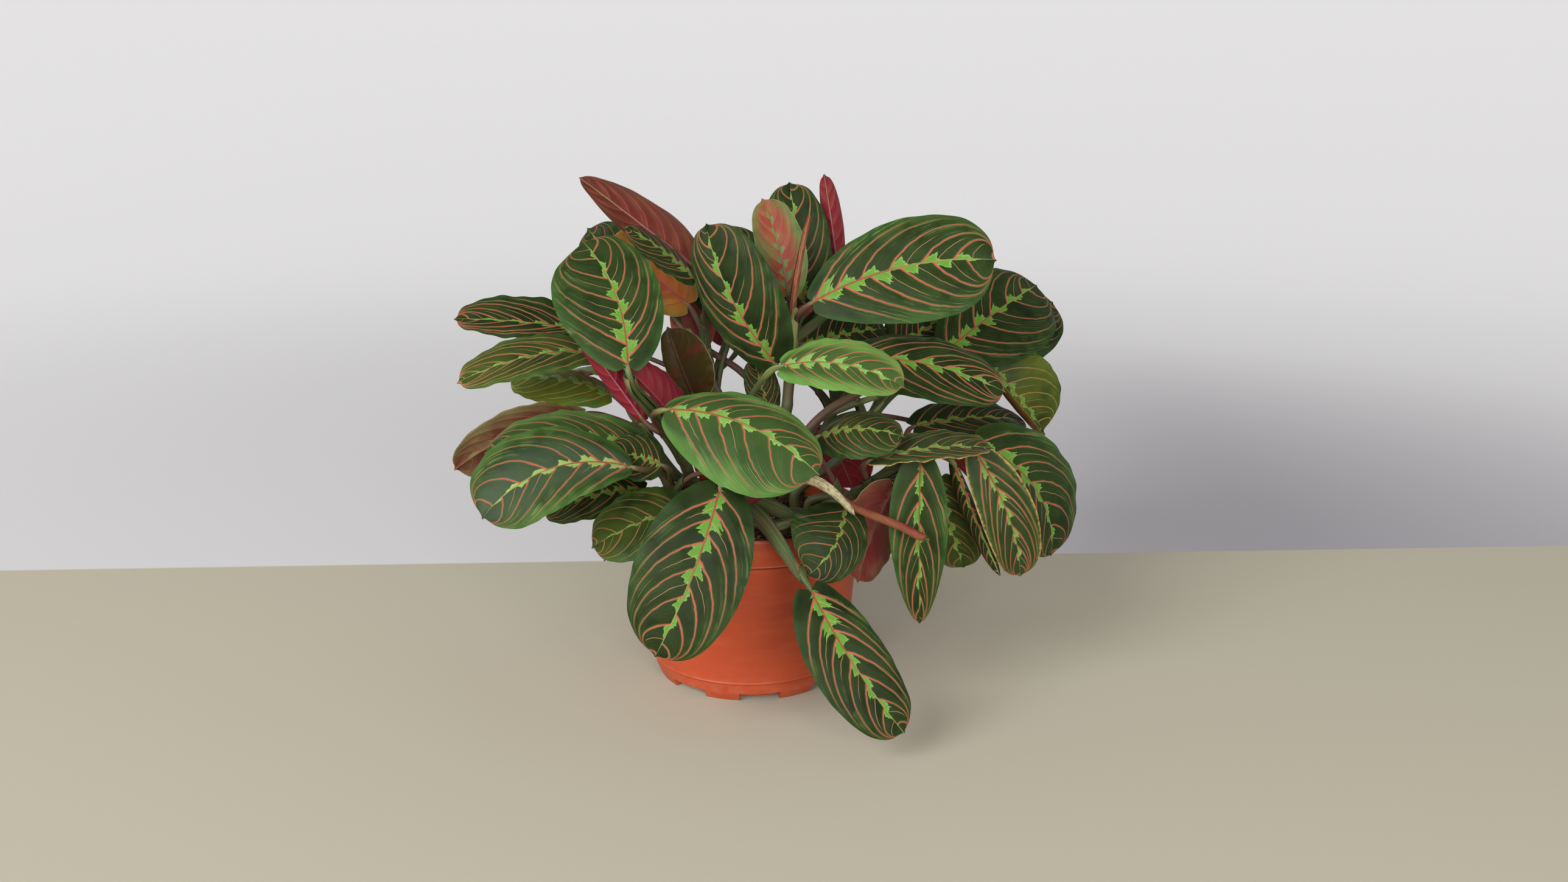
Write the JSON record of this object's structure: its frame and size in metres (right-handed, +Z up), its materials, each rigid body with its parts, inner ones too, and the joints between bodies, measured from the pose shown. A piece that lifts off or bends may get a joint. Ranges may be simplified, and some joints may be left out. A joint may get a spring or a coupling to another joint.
{
  "type": "potted prayer plant",
  "caption": "Prayer plant with broad oval leaves, pink veins and wine-red undersides, in peat in a round terracotta-coloured plastic nursery pot.",
  "frame": {"origin": "middle of the pot's underside, on the surface that the pot stands on, on the pot's axis", "axes": "+Z up along the pot's axis, -Y towards the side that the largest drooping leaves face, +X to the right seen from there"},
  "size_m": [0.446, 0.3321, 0.341],
  "materials": {
    "pot": "satin moulded nursery-pot plastic",
    "soil": "damp fibrous peat",
    "stem": "smooth green stalks with a red-brown tinge",
    "leaf": "satin leaf, dark green with a light green mark and pink veins above, wine-red below"
  },
  "bodies": {
    "root": {"pot": "pot", "soil": "soil", "stem_a": "stem", "leaf_a_1": "leaf", "leaf_a_2": "leaf", "leaf_a_3": "leaf", "leaf_a_4": "leaf", "stem_b": "stem", "leaf_b_1": "leaf", "leaf_b_2": "leaf", "leaf_b_3": "leaf", "leaf_b_4": "leaf", "leaf_b_5": "leaf", "stem_c": "stem", "leaf_c_1": "leaf", "leaf_c_2": "leaf", "leaf_c_3": "leaf", "leaf_c_4": "leaf", "stem_d": "stem", "leaf_d_1": "leaf", "leaf_d_2": "leaf", "leaf_d_3": "leaf", "stem_e": "stem", "leaf_e_1": "leaf", "leaf_e_2": "leaf", "leaf_e_3": "leaf", "leaf_e_4": "leaf", "leaf_e_5": "leaf", "stem_f": "stem", "leaf_f_1": "leaf", "leaf_f_2": "leaf", "leaf_f_3": "leaf", "leaf_f_4": "leaf", "leaf_f_5": "leaf", "stem_g": "stem", "leaf_g_1": "leaf", "leaf_g_2": "leaf", "leaf_g_3": "leaf", "leaf_g_4": "leaf", "leaf_g_5": "leaf", "stem_h": "stem", "leaf_h_1": "leaf", "leaf_h_2": "leaf", "stem_i": "stem", "leaf_i_1": "leaf", "leaf_i_2": "leaf", "stem_j": "stem", "leaf_j_1": "leaf", "leaf_j_2": "leaf", "leaf_j_3": "leaf", "leaf_j_4": "leaf", "leaf_j_5": "leaf", "leaf_j_6": "leaf", "stem_k": "stem", "leaf_k_1": "leaf", "leaf_k_2": "leaf", "leaf_k_3": "leaf", "leaf_k_4": "leaf", "leaf_k_5": "leaf", "leaf_k_6": "leaf"}
  },
  "joints": []
}
